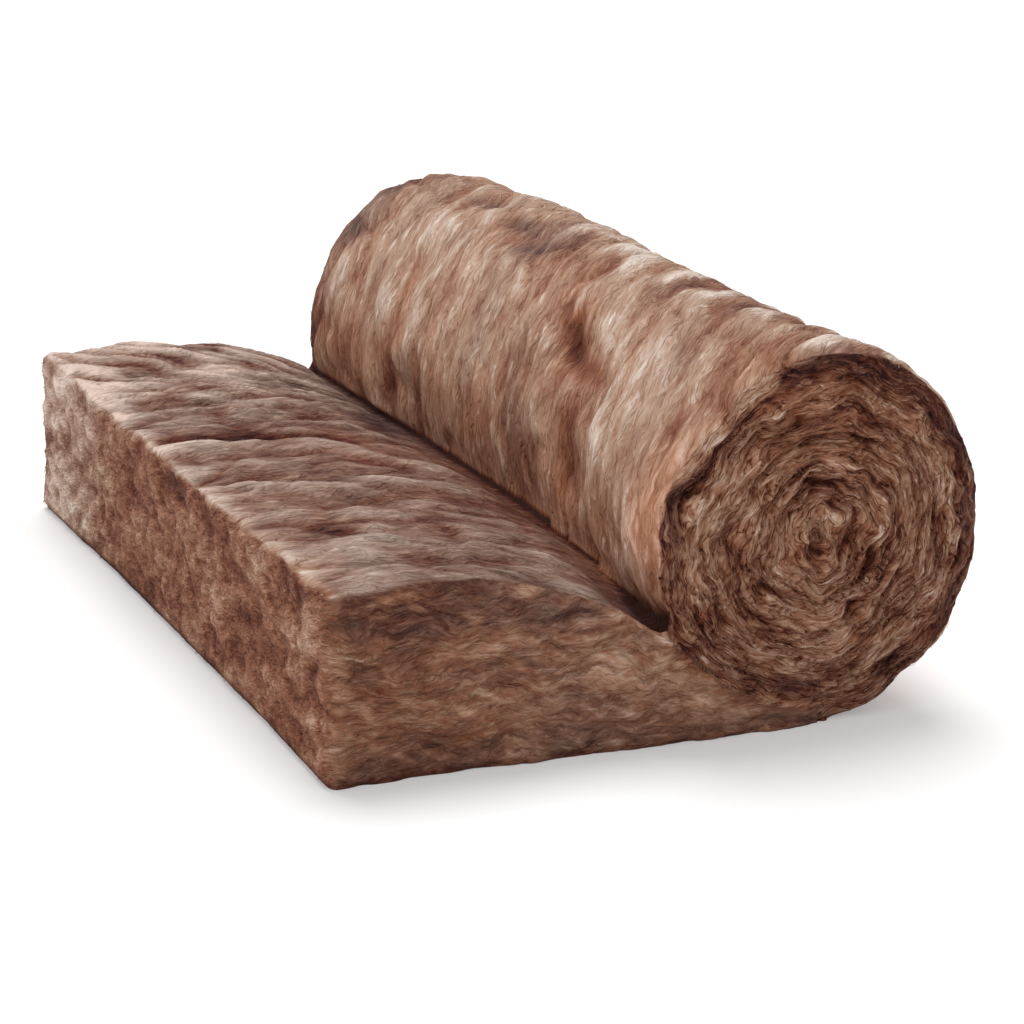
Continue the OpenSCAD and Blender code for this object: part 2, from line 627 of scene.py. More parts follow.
    def _face_zones(self, mesh: bpy.types.Mesh) -> np.ndarray:
        """Sort the faces of the plain body into zones by their place and normal.

        Args:
            mesh: The body's mesh.

        Returns:
            The zone of each face.
        """
        s = self.section
        normal = fetch(mesh.polygons, "normal", 3)
        centre = fetch(mesh.polygons, "center", 3)
        roll = s.on_roll(centre)
        zones = np.where(roll, Zone.ROLL, Zone.LAP)
        zones[(normal[:, 0] < -0.7) & (centre[:, 0] < s.free_x + 0.02)] = Zone.CUT
        zones[(normal[:, 2] < -0.6) & (centre[:, 2] < 0.012)] = Zone.UNDER
        edges = np.abs(normal[:, 1]) > 0.7
        zones[edges & roll] = Zone.END
        zones[edges & ~roll] = Zone.SIDE
        return zones

    def _sculpt(self, body: bpy.types.Object) -> None:
        """Push the plain skin into lumps, folds and layers and grade its tone.

        Args:
            body: The plain body.
        """
        s = self.section
        mesh = body.data
        self.zones = self._face_zones(mesh)
        points = fetch(mesh.vertices, "co", 3)
        normals = fetch(mesh.vertex_normals, "vector", 3)
        x, y, z = points.T
        edge = ease(0.4, 0.85, np.abs(normals[:, 1]))
        roll = s.on_roll(points) * (1 - edge)
        upright = np.maximum(ease(0.45, 0.9, -normals[:, 0]), ease(0.5, 0.2, normals[:, 2]))
        cut = upright * ease(s.free_x + 0.03, s.free_x + 0.01, x) * (1 - edge)
        under = ease(0.3, 0.8, -normals[:, 2]) * ease(0.04, 0.01, z) * (1 - edge)
        lap = (1 - s.on_roll(points)) * np.clip(1 - edge - cut, 0, 1) * (1 - under)
        roll = roll * (1 - under)
        roll_push, roll_tone, roll_warm = self._roll_relief(points)
        lap_push, lap_tone, lap_warm = self._lap_relief(points)
        cut_push, cut_tone, cut_warm = self._cut_relief(points)
        edge_push, edge_tone, edge_warm = self._edge_relief(points)
        nip_width = 0.0065 - 0.0010 * ease(-0.20, -0.36, y) + 0.010 * ease(-0.42, -0.55, y)
        nip = bell(self.nip_gap(points), nip_width) * (1 - edge) * (1 - under)
        curl = edge * self._rim_curl(points)
        edge = edge - curl
        moved = points.copy()
        moved += normals * (roll * roll_push + lap * lap_push - self.nip_depth * nip)[:, None]
        foot = 0.003 * ease(0.08, 0.02, z) - 0.006 * ease(0.012, 0.0, z)
        moved[:, 0] -= cut * (cut_push * ease(0.0, 0.05, z) + foot)
        curl_push = curl * 0.004 * Grain(17).at(x / 0.03, z / 0.03, 0.5)
        moved[:, 1] += np.sign(y) * (edge * edge_push + curl_push)
        moved += self._skew(points) + self._ragged(points)
        moved[:, 2] = np.where(z < 1e-4, 0.0, np.maximum(moved[:, 2], ABOVE_FLOOR))
        write_points(mesh, moved)
        roll = roll + curl
        tone = roll * roll_tone + lap * lap_tone + cut * cut_tone + edge * edge_tone + under * self.under_tone
        # Painted shade in the nip between lap and roll: darker and redder where they meet.
        tone += self.nip_shade_tone * nip
        warm = roll * roll_warm + lap * lap_warm + cut * cut_warm + edge * edge_warm
        warm += self.nip_shade_warm * nip
        set_attribute(mesh, "tone", "POINT", tone)
        set_attribute(mesh, "warm", "POINT", warm)
        set_attribute(mesh, "flow", "CORNER", self._corner_flow(mesh, points))

    def _rim_curl(self, points: np.ndarray) -> np.ndarray:
        """Tell how far the roll's outer face curls over the rim onto an edge, from 0 to 1.

        Args:
            points: Places on the blanket, one in each row.

        Returns:
            One share for each place.
        """
        s = self.section
        x, y, z = points.T
        angle, radius = s.polar(points)
        degrees = np.degrees(angle) + 14 * Grain(18).at(x / 0.05, z / 0.05, np.sign(y) * 3)
        reach = 0.020 * ease(178, 205, degrees) * ease(258, 228, degrees)
        reach = reach + 0.006 * Grain(19).at(x / 0.030, z / 0.030, np.sign(y) * 3)
        inside = s.outer_radius(angle) - radius
        return ease(0.004, -0.004, inside - reach) * s.on_roll(points) * (angle > 2.2)

    def _skew(self, points: np.ndarray) -> np.ndarray:
        """Let the roll flare at its front end and the corners of the lap stand out, as they lie.

        Args:
            points: Places on the blanket, one in each row.

        Returns:
            How far each point moves.
        """
        s = self.section
        x, y, z = points.T
        angle, radius = s.polar(points)
        degrees = np.degrees(angle)
        roll = ease(0.235, 0.200, radius)
        near = ease(-0.25, -0.56, y)
        back = ease(0.1, s.half_width, y) * roll
        front = ease(0.0, -s.half_width, y) * ease(-0.34, 0.15, x)
        flare = near * ease(222, 255, degrees) * ease(340, 300, degrees)
        flare = flare * ease(0.06, 0.17, radius) * ease(0.27, 0.20, radius)
        shoulder = back * ease(205, 228, degrees) * ease(265, 242, degrees)
        belly = near * roll * ease(15, 45, degrees) * ease(105, 75, degrees)
        free = ease(0.05, 0.0, x - s.free_x)
        bulge = free * ease(0.25, 0.50, y) * ease(0.17, 0.08, z)
        toe = free * ease(-0.30, -0.56, y) * ease(0.09, 0.02, z)
        top = ease(0.10, 0.18, z) * (1 - roll) * ease(0.0, 0.3, y)
        along = 0.005 * shoulder - 0.014 * flare - 0.007 * back * ease(0.26, 0.16, z) - 0.003 * belly
        along = along - 0.005 * bulge - 0.004 * toe
        rise = 0.004 * top * np.maximum(ease(-0.36, -0.25, x), ease(0.3, 0.5, y))
        crest = roll * ease(0.33, 0.40, z)
        rise = rise + crest * (0.005 * near + 0.005 * ease(0.02, 0.15, y) * ease(0.48, 0.36, y))
        return stack(along, -0.016 * front - 0.003 * toe, rise)

    def _ragged(self, points: np.ndarray) -> np.ndarray:
        """Make the blanket's straight edges wander.

        Args:
            points: Places on the blanket, one in each row.

        Returns:
            How far each point moves.
        """
        s = self.section
        x, y, z = points.T
        free = ease(0.05, 0.0, x - s.free_x)
        top = ease(0.06, 0.0, s.lap_top(points) - z) * (1 - s.on_roll(points))
        ends = ease(0.06, 0.0, s.half_width - np.abs(y))
        along = 0.006 * Grain(61).at(y / 0.055, z / 0.10, 0.5) * free * (0.25 + 0.75 * top)
        across = np.sign(y) * 0.006 * Grain(62).at(x / 0.06, z / 0.06, np.sign(y) * 5) * ends
        rise = 0.005 * Grain(63).at(x / 0.07, y / 0.07, 0.5) * top * np.maximum(free, ends)
        return stack(along, across, rise)

    def nip_gap(self, points: np.ndarray) -> np.ndarray:
        """Distance of a point from the face that it meets in the nip, between lap and roll.

        Args:
            points: Places on the blanket, one in each row.

        Returns:
            Distances in metres.
        """
        s = self.section
        x, _, z = points.T
        angle, radius = s.polar(points)
        gap = np.where(s.on_roll(points), z - s.lap_top(points), radius - s.outer_radius(angle))
        return np.where((x > NIP_START) & (x < s.centre_x), np.abs(gap), 1.0)

    def _roll_relief(self, points: np.ndarray) -> tuple:
        """Shape the roll's outer face.

        Args:
            points: Places on the blanket, one in each row.

        Returns:
            How far each point is pushed out, its tone and its warmth.
        """
        s = self.section
        y = points[:, 1]
        angle, _ = s.polar(points)
        arc = angle * s.start_radius
        degrees = np.degrees(angle)
        slid = y + s.slide(angle)
        lumps = Grain(11).cloud(arc / 0.24, y / 0.26, 0.5)
        wander = slid + 0.020 * Grain(10).at(arc / 0.08, y / 0.08, 0.5)
        ripples = Grain(12).at(arc / 0.11, wander / 0.050, 0.5)
        streaks = Grain(8).at(arc / 0.060, wander / 0.020, 0.5)
        puffs = Grain(13).puffs(arc / 0.11, wander / 0.042, 0.5) - 0.65
        locks = Grain(9).at(arc / 0.028, wander / 0.011, 0.5)
        wisps = np.clip(Grain(7).at(arc / 0.050, wander / 0.0095, 0.5) - 0.30, 0, 1)
        patches = Grain(15).cloud(arc / 0.15, slid / 0.09, 0.5)
        shore = degrees + 8 * Grain(16).at(0.5, y / 0.06, 0.5) + 4 * lumps
        low = ease(246, 272, shore)
        push = 0.004 * lumps + 0.003 * ripples + 0.006 * puffs + 0.002 * streaks + 0.001 * locks
        # Tone rises with the push of each pattern, so what stands out is paler and the folds between darker:
        # partly painted highlight and shade on the relief, partly the wool's own streaky tone.
        tone = 0.64 + 0.05 * lumps + 0.11 * ripples + 0.14 * puffs + 0.13 * streaks + 0.06 * locks
        tone += 0.38 * wisps
        # The low band facing the lap is painted darker and warmer: partly painted shade, partly the redder
        # wool there.
        tone += 0.12 * patches - 0.08 * low
        warm = -0.05 + 0.4 * patches + 0.40 * low - 0.4 * ripples
        for dent in self.dents:
            shape = dent.shape(arc, y, s.start_radius) * (1 + 0.35 * streaks)
            push -= dent.depth * shape
            # Most dents are painted darker: painted shade in the hollows.
            tone += dent.tone * shape
            warm += dent.warm * shape
        for wrinkle in self.wrinkles:
            fold, lip = wrinkle.shape(s.half_width - y, degrees, math.radians(1) * s.start_radius)
            push += wrinkle.lip * lip - wrinkle.depth * fold
            # Painted highlight on each wrinkle's lip and painted shade in its fold.
            tone += self.wrinkle_lip_highlight * wrinkle.lip * lip
            tone += self.wrinkle_shade_tone * wrinkle.depth * fold * (1 + 0.5 * streaks)
            warm += self.wrinkle_warm * wrinkle.depth * fold
        rim = ease(0.030, 0.0, s.half_width - np.abs(y))
        far = ease(0.095, 0.030, s.half_width - y + 0.030 * Grain(20).at(arc / 0.07, 0.5, 0.5))
        far = far * ease(176, 192, degrees)
        band = ease(0.15, 0.03, s.half_width + y) * ease(188, 215, degrees)
        push -= 0.006 * rim**2
        tone += 0.01 * band - 0.34 * far
        warm += 0.35 * band - 0.7 * far
        top = ease(216, 190, degrees) * ease(60, 150, degrees)
        # Painted highlight along the crest of the roll's top, paler on its streaks, where the back light
        # catches it.
        crest = ease(196, 176, degrees) * ease(0.18, -0.02, y + 0.06 * patches) * ease(60, 150, degrees)
        pale = np.clip(0.35 + ripples + 0.8 * streaks, 0, 1)
        tone += 0.36 * crest * pale - 0.15 * top * ease(0.3, 0.0, y)
        warm -= 0.2 * crest
        return push, tone, warm

    def _lap_relief(self, points: np.ndarray) -> tuple:
        """Shape the lap's top.

        Args:
            points: Places on the blanket, one in each row.

        Returns:
            How far each point is pushed out, its tone and its warmth.
        """
        s = self.section
        x, y, _ = points.T
        lumps = Grain(21).cloud(x / 0.20, y / 0.18, 0.5)
        slant = 0.15 + 0.75 * ease(0.05, 0.45, y)
        wander = y + slant * (x - s.free_x) + 0.020 * Grain(24).at(x / 0.07, y / 0.07, 0.5)
        blotches = Grain(27).cloud(x / 0.075, wander / 0.055, 0.5)
        folds = Grain(22).puffs(x / 0.10, wander / 0.045, 0.5) - 0.65
        ridges = Grain(28).veins(0.28, x / 0.085, wander / 0.040, 0.5)
        ripples = Grain(23).at(x / 0.055, wander / 0.015, 0.5)
        strokes = Grain(25).at(x / 0.040, wander / 0.007, 0.5)
        away = ease(0.02, -0.10, x)
        along = (x - s.free_x) / (self.nip_x - s.free_x)
        push = 0.004 * lumps + away * (0.003 * blotches + 0.004 * folds + 0.002 * ridges + 0.0015 * ripples)
        tone = 0.365 + 0.07 * lumps + 0.08 * strokes
        lively = away * (1 + 1.0 * ease(0.1, 0.4, y))
        # Cushions and ridges paler and folds darker, in step with their push: partly painted highlight and
        # shade on the relief, partly the wool's own blotchy tone.
        tone += lively * (0.16 * blotches + 0.22 * folds + 0.13 * ridges + 0.10 * ripples)
        warm = -0.85 + 0.4 * lumps - 0.3 * folds
        for pleat in self.pleats:
            trough, ridge = pleat.shape(along, y + 0.012 * Grain(26).at(x / 0.07, y / 0.2, 0.5))
            push += pleat.depth * (0.3 * ridge - trough)
            # Troughs are painted darker and their ridges paler: painted shade and highlight on the pleats.
            tone += pleat.tone * (trough - 0.4 * ridge) * (1 + 0.8 * blotches)
        for crease in self.creases:
            fold, lip = crease.shape(x, y + 0.006 * ripples)
            push += crease.lip * lip - crease.depth * fold
            # Painted shadow in each crease, set a little back from its fold, and a painted highlight on its
            # lip.
            dark, _ = crease.shape(x, y - self.crease_shade_back + 0.006 * ripples)
            tone += self.crease_lip_highlight * crease.lip * lip + self.crease_shade_tone * crease.depth * dark
        # A paler band along the free edge, of wandering width: a painted highlight where the edge catches the
        # light.
        reach = 0.020 + 0.055 * np.clip(0.5 + 1.1 * Grain(29).at(0.5, wander / 0.05, 0.5), 0, 1.3)
        edge = ease(1.0, 0.0, (x - s.free_x) / reach)
        tone += (0.34 - 0.12 * ease(-0.2, -0.45, y)) * edge * (1 + 0.5 * folds)
        warm += edge * (0.2 + 0.9 * ease(-0.10, -0.40, y))
        # The far back of the lap towards the free end is painted paler, a painted highlight of the back
        # light; the front half a little paler too.
        tone += 0.17 * ease(0.12, 0.36, y) * ease(-0.08, -0.20, x) + 0.05 * ease(-0.2, -0.45, y)
        tone -= 0.06 * bell(y, 0.20) * ease(-0.31, -0.24, x)
        for stain in self.stains:
            spot = stain.shape(x, y) * (1 + 0.5 * ripples)
            tone += stain.tone * spot
            warm -= 0.5 * spot
        warm -= 3.0 * np.clip(tone - 0.42, -0.3, 0.3)
        taper = ease(-0.26, -0.16, x)
        rim = ease(0.035 + 0.045 * taper, 0.0, s.half_width - np.abs(y) + 0.012 * lumps)
        push -= (0.004 + 0.003 * taper) * rim**2
        tone -= 0.10 * rim * taper
        # Painted shade towards the nip, where the roll overhangs, strongest at the front edge.
        nip = ease(-0.10, 0.02, x)
        tone -= 0.04 * nip + 0.04 * nip * ease(0.0, -0.4, y) + 0.12 * nip * ease(-0.42, -0.54, y)
        warm += 0.8 * nip * ease(0.2, -0.2, y) - 0.2 * nip * ease(0.0, 0.3, y)
        return push, tone, warm

    def _cut_relief(self, points: np.ndarray) -> tuple:
        """Shape the cut face at the free end.

        Args:
            points: Places on the blanket, one in each row.

        Returns:
            How far each point is pushed out, its tone and its warmth.
        """
        _, y, z = points.T
        slope = z + 0.20 * y
        clumps = Grain(31).cloud(y / 0.090, slope / 0.055, 0.5)
        tufts = Grain(32).at(y / 0.026, slope / 0.015, 0.5)
        cracks = Grain(33).veins(0.25, y / 0.050, slope / 0.024, 0.5)
        far = ease(0.16, 0.42, y)
        push = 0.004 * clumps + 0.003 * tufts - 0.003 * cracks
        # Clumps and tufts paler and cracks darker, in step with their push: partly painted highlight and
        # shade, partly the wool's own mottled tone.
        tone = 0.43 + (1 + 0.5 * far) * (0.15 * clumps + 0.15 * tufts - 0.15 * cracks)
        tone += 0.28 * far + 0.07 * ease(-0.2, -0.40, y) * ease(0.19, 0.15, z)
        warm = 0.25 - 0.3 * clumps + 0.2 * cracks - 1.0 * far
        flap = np.interp(z, (0.06, 0.078, 0.107, 0.16, 0.19), (-0.60, -0.571, -0.491, -0.482, -0.470)) - y
        lifted = ease(-0.004, 0.004, flap + 0.006 * tufts)
        push += 0.007 * lifted
        # The lifted flap is painted a little paler, as a painted highlight, with a painted shadow line along
        # its edge.
        tone += 0.05 * lifted - 0.28 * bell(flap, 0.006) * (z > 0.05)
        brow = ease(0.060, 0.0, 0.205 - z + 0.02 * clumps)
        foot = ease(0.014, 0.0, z)
        # The foot is painted darker: a painted contact shadow along the floor.
        tone -= 0.06 * brow + 0.36 * foot
        return push, tone, warm

    def _edge_relief(self, points: np.ndarray) -> tuple:
        """Shape the two edges, with the turns of the roll.

        Args:
            points: Places on the blanket, one in each row.

        Returns:
            How far each point is pushed out, its tone and its warmth.
        """
        s = self.section
        x, y, z = points.T
        side = np.where(y < 0, 0.0, 40.0)
        on_roll = s.on_roll(points)
        angle, _ = s.polar(points)
        layer = s.layer(points)
        turns = s.turns(points)
        torn = np.clip(0.45 + 0.9 * Grain(43).at(x / 0.05, z / 0.05, side), 0.1, 1.0)
        gap = bell((turns - np.round(turns)) * s.pitch, 0.0035) * torn
        cracks = Grain(45).veins(0.22, x / 0.055, z / 0.055, layer / 0.0085 + side) * (0.4 + 0.6 * torn)
        sheets = Grain(44).at(x / 0.040, z / 0.040, layer / 0.0085 + side)
        beds = Grain(46).cloud(x / 0.12, z / 0.12, layer / 0.030 + side)
        tufts = Grain(47).at((x - 0.5 * z) / 0.040, (z + 0.5 * x) / 0.013, side)
        eye = bell(x - s.centre_x + 0.010, 0.013) * bell(z - s.centre_z + 0.014, 0.010)
        end_push = 0.003 * sheets + 0.006 * beds - 0.007 * cracks - 0.008 * gap - 0.012 * eye
        upper = ease(0.28, 0.34, z)
        # Gaps between turns, cracks and the hollow eye are pushed in and painted darker: painted shade in
        # them. Sheets and beds are paler where they stand out.
        layered = 0.18 * sheets + 0.18 * beds - 0.36 * cracks - 0.22 * gap
        end_tone = 0.555 + (1 - 0.5 * upper) * layered - 0.34 * eye
        border = ease(1.15, 0.85, turns + 0.4 * tufts) * ease(2, 38, np.degrees(angle))
        ring = bell(turns - 1.7, 0.5) * ease(0.0, 0.5, np.abs(np.sin(angle)))
        end_tone += 0.12 * ring - 0.21 * border - 0.15 * upper
        end_warm = 0.25 + 0.4 * beds + 0.5 * cracks - 0.5 * border
        side_push = 0.003 * sheets + 0.005 * beds + 0.003 * tufts - 0.003 * cracks
        side_tone = 0.445 + 0.07 * sheets + 0.13 * beds + 0.46 * np.clip(tufts - 0.2, 0, 1) - 0.07 * cracks
        side_tone += 0.11 * ease(-0.28, -0.10, x)
        deep = s.lap_top(points) - z + 0.012 * Grain(50).at(x / 0.06, z / 0.06, side)
        brow = ease(0.075, 0.030, deep) * ease(-0.06, -0.16, x)
        foot = ease(0.045, 0.015, z + 0.012 * Grain(50).at(x / 0.06, z / 0.06, side))
        corner = ease(0.030, 0.004, x - s.free_x)
        line = ease(0.012, 0.0, z) * ease(s.centre_x + 0.02, s.centre_x - 0.06, x)
        nip_shadow = bell(self.nip_gap(points), 0.010)
        # Painted highlight at the corner by the free end, painted contact shadow at the foot and along the
        # floor line, and painted shade along the nip.
        side_tone += 0.08 * corner - 0.15 * brow - 0.10 * foot - 0.16 * line - 0.14 * nip_shadow
        side_warm = 0.05 + 0.5 * beds + 0.4 * tufts + 0.2 * corner - 0.4 * brow - 0.4 * foot
        push = np.where(on_roll, end_push, side_push)
        tone = np.where(on_roll, end_tone, side_tone)
        warm = np.where(on_roll, end_warm, side_warm)
        return push, tone, warm

    def _corner_flow(self, mesh: bpy.types.Mesh, points: np.ndarray) -> np.ndarray:
        """Give each face corner its place along and across the combed fibre.

        Args:
            mesh: The body's mesh.
            points: Its vertices before they were sculpted.

        Returns:
            Vectors whose first two numbers run along the fibre and the third across it.
        """
        s = self.section
        count = fetch(mesh.polygons, "loop_total", kind=np.int32)
        vertex = fetch(mesh.loops, "vertex_index", kind=np.int32)
        zone = np.repeat(self.zones, count)
        points = points[vertex]
        x, y, z = points.T
        angle, _ = s.polar(points)
        arc = angle * s.start_radius
        flow = stack(arc, 0.25 * y, y + s.slide(angle))
        for part, columns in {
            Zone.LAP: (x + 3.0, 0.5 * y, y + 0.12 * x),
            Zone.CUT: (y + 5.0, 0.5 * z, z + 0.20 * y),
            Zone.END: (x + 7.0 + 2 * np.sign(y), z, s.layer(points)),
            Zone.SIDE: (x + 7.0 + 2 * np.sign(y), z, s.layer(points)),
            Zone.UNDER: (x + 11.0, 0.25 * y, y),
        }.items():
            here = zone == part
            flow[here] = stack(*columns)[here]
        return flow


class Coat:
    """The finished surface, as the strands that lie on it find it."""

    def __init__(self, body: bpy.types.Object, blanket: Blanket) -> None:
        """Read the body's triangles, their zones, their tone and which lie clear of the nip.

        Args:
            body: The finished body.
            blanket: What it was built from.
        """
        mesh = body.data
        self.section = blanket.section
        mesh.calc_loop_triangles()
        self.points = fetch(mesh.vertices, "co", 3)
        self.corners = fetch(mesh.loop_triangles, "vertices", 3, np.int32)
        self.zone = blanket.zones[fetch(mesh.loop_triangles, "polygon_index", kind=np.int32)]
        a, b, c = (self.points[self.corners[:, i]] for i in range(3))
        self.area = np.linalg.norm(np.cross(b - a, c - a), axis=1) / 2
        self.open = blanket.nip_gap((a + b + c) / 3) > NIP_CLEAR
        self.tree = BVHTree.FromPolygons(self.points.tolist(), self.corners.tolist())
        self.tone = self._by_triangle(mesh, "tone")
        self.warm = self._by_triangle(mesh, "warm")

    def _by_triangle(self, mesh: bpy.types.Mesh, name: str) -> np.ndarray:
        """Average a stored number over each triangle."""
        values = fetch(mesh.attributes[name].data, "value", kind=np.float32)
        return values[self.corners].mean(axis=1)

    def scatter(self, zones: tuple, count: int, rng: np.random.Generator) -> np.ndarray:
        """Pick places on some zones, evenly by area.

        Args:
            zones: The zones to pick from.
            count: How many places.
            rng: Source of the random draws.

        Returns:
            Points on the surface.
        """
        weight = self.area * np.isin(self.zone, zones) * self.open
        pick = rng.choice(len(weight), size=count, p=weight / weight.sum())
        u, v = rng.random((2, count))
        flip = u + v > 1
        u[flip], v[flip] = 1 - u[flip], 1 - v[flip]
        a, b, c = (self.points[self.corners[pick, i]] for i in range(3))
        return a + u[:, None] * (b - a) + v[:, None] * (c - a)

    def drop(self, points: np.ndarray) -> tuple[np.ndarray, np.ndarray, np.ndarray]:
        """Find the nearest places on the surface.

        Args:
            points: Points near it.

        Returns:
            The places, the surface's normals there and its triangles.
        """
        found = [self.tree.find_nearest(p) for p in points.tolist()]
        place = np.array([f[0] for f in found])
        normal = np.array([f[1] for f in found])
        face = np.array([f[2] for f in found])
        return place, normal, face

    def combed(self, points: np.ndarray, face: np.ndarray) -> np.ndarray:
        """Give the way that the fibre runs at places on the surface.

        Args:
            points: Places on the surface.
            face: The triangles that they lie on.

        Returns:
            Vectors of length one, not yet laid into the surface.
        """
        s = self.section
        x, y, z = points.T
        zone = self.zone[face]
        run = np.tile(np.array([1.0, 0.0, 0.0]), (len(points), 1))
        angle, _ = s.polar(points)
        around = stack(s.squeeze * np.cos(angle), 0, np.sin(angle))
        swerve = 0.6 * Grain(51).at(6 * x, 7 * y, 6 * z)
        around[:, 1] = -s.lean(angle) + swerve
        roll = zone == Zone.ROLL
        run[roll] = around[roll]
        top = zone == Zone.LAP
        run[top, 1] = -0.12 + swerve[top]
        cut = zone == Zone.CUT
        run[cut] = stack(0, 1.0, -0.20 + swerve)[cut]
        edges = (zone == Zone.END) | (zone == Zone.SIDE)
        along = np.array([COMB_STEP, 0, 0])
        up = np.array([0, 0, COMB_STEP])
        lean = stack(
            s.layer(points + along) - s.layer(points - along),
            0,
            s.layer(points + up) - s.layer(points - up),
        )
        turned = stack(lean[:, 2], 0, -lean[:, 0])
        run[edges] = turned[edges]
        return unit(run)


RING_AT = np.array([0.0, 0.2, 0.5, 0.8, 1.0])
RING_WIDTH = np.array([0.75, 1.0, 0.6])


@dataclass(frozen=True)
class Strands:
    """Locks of fibre laid over some zones of the blanket, as one mesh of closed slivers."""

    name: str
    zones: tuple
    locks: int
    lock_size: int
    length: tuple
    width: tuple
    lift: float
    spread: float
    stray: float
    seed: int
    tone_spread: float = 0.10

    def build(self, coat: Coat) -> bpy.types.Object:
        """Lay the locks on the blanket.

        Args:
            coat: The surface that they lie on.

        Returns:
            The finished object.
        """
        rng = np.random.default_rng(self.seed)
        total = self.locks * self.lock_size
        own = np.repeat(np.arange(self.locks), self.lock_size)
        root = coat.scatter(self.zones, self.locks, rng)
        root, normal, face = coat.drop(root)
        run = self._tangent(coat.combed(root, face), normal)
        swing = rng.normal(0, self.stray, self.locks)
        run = self._turn(run, normal, swing)
        across = np.cross(normal, run)
        shift = rng.normal(0, self.spread, (total, 2))
        start = root[own] + across[own] * shift[:, :1] + run[own] * (2.0 * shift[:, 1:])
        start, normal, face = coat.drop(start)
        heading = self._tangent(run[own], normal)
        heading = self._turn(heading, normal, rng.normal(0, 0.5 * self.stray, total))
        length = rng.uniform(*self.length, self.locks)[own] * rng.uniform(0.7, 1.15, total)
        width = rng.uniform(*self.width, total)
        bend = rng.normal(0, 0.35, self.locks)[own] + rng.normal(0, 0.25, total)
        lift = self.lift * rng.random(total) ** 3
        tone = coat.tone[face] + rng.normal(0, self.tone_spread, self.locks)[own]
        tone += rng.normal(0, 0.6 * self.tone_spread, total)
        warm = coat.warm[face] + rng.normal(0, 0.25, self.locks)[own]
        centres, normals, headings, apart = self._trace(coat, start, normal, heading, length, bend, lift)
        points = self._rings(centres, normals, headings, width)
        return self._mesh(points[~apart], tone[~apart], warm[~apart])

    @staticmethod
    def _tangent(run: np.ndarray, normal: np.ndarray) -> np.ndarray:
        """Lay directions into the surface."""
        return unit(run - normal * (run * normal).sum(axis=1, keepdims=True))

    @staticmethod
    def _turn(run: np.ndarray, normal: np.ndarray, by: np.ndarray) -> np.ndarray:
        """Turn directions about the normal by angles in radians."""
        return run * np.cos(by)[:, None] + np.cross(normal, run) * np.sin(by)[:, None]

    def _trace(
        self,
        coat: Coat,
        start: np.ndarray,
        normal: np.ndarray,
        heading: np.ndarray,
        length: np.ndarray,
        bend: np.ndarray,
        lift: np.ndarray,
    ) -> tuple[np.ndarray, np.ndarray, np.ndarray, np.ndarray]:
        """Follow the surface from each start and raise the middles and tips.

        Args:
            coat: The surface.
            start: Where each strand begins.
            normal: The surface's normals there.
            heading: The way that each strand sets out.
            length: How long each strand is.
            bend: How far each strand turns along its length, in radians.
            lift: How high each tip stands.

        Returns:
            Centres, normals and headings for every ring of every strand, and which strands run
            from the lap across the nip to the roll.
        """
        centres, normals, headings = [start], [normal], [heading]
        place = start
        on_lap = np.zeros(len(start), dtype=bool)
        on_roll = np.zeros(len(start), dtype=bool)
        for k in range(1, len(RING_AT)):
            part = RING_AT[k] - RING_AT[k - 1]
            heading = self._turn(self._tangent(heading, normal), normal, bend * part)
            place, normal, face = coat.drop(place + heading * (length * part)[:, None])
            on_lap |= coat.zone[face] == Zone.LAP
            on_roll |= coat.zone[face] == Zone.ROLL
            centres.append(place)
            normals.append(normal)
            headings.append(self._tangent(heading, normal))
        arch = np.sin(math.pi * RING_AT) * 0.7 + 0.5 * RING_AT**2
        raised = [c + n * (lift * t)[:, None] for c, n, t in zip(centres, normals, arch)]
        return np.stack(raised, 1), np.stack(normals, 1), np.stack(headings, 1), on_lap & on_roll

    def _rings(
        self, centres: np.ndarray, normals: np.ndarray, headings: np.ndarray, width: np.ndarray
    ) -> np.ndarray:
        """Make each strand's vertices: a tip, three rings of three and a tip.

        Args:
            centres: Ring centres of each strand.
            normals: Surface normals there.
            headings: Headings there.
            width: Width of each strand.

        Returns:
            Eleven points for each strand.
        """
        side = np.cross(normals, headings)
        half = width[:, None, None] * RING_WIDTH[None, :, None] / 2
        mid, out, flat = centres[:, 1:4], normals[:, 1:4], side[:, 1:4]
        sunk = mid - out * 0.25 * half
        left, right, crest = sunk - flat * half, sunk + flat * half, mid + out * 0.8 * half
        rings = np.stack([left, right, crest], axis=2).reshape(len(mid), 9, 3)
        first = centres[:, :1] - normals[:, :1] * 0.0006
        points = np.concatenate([first, rings, centres[:, 4:]], axis=1)
        points[..., 2] = np.maximum(points[..., 2], 0.0004)
        return points

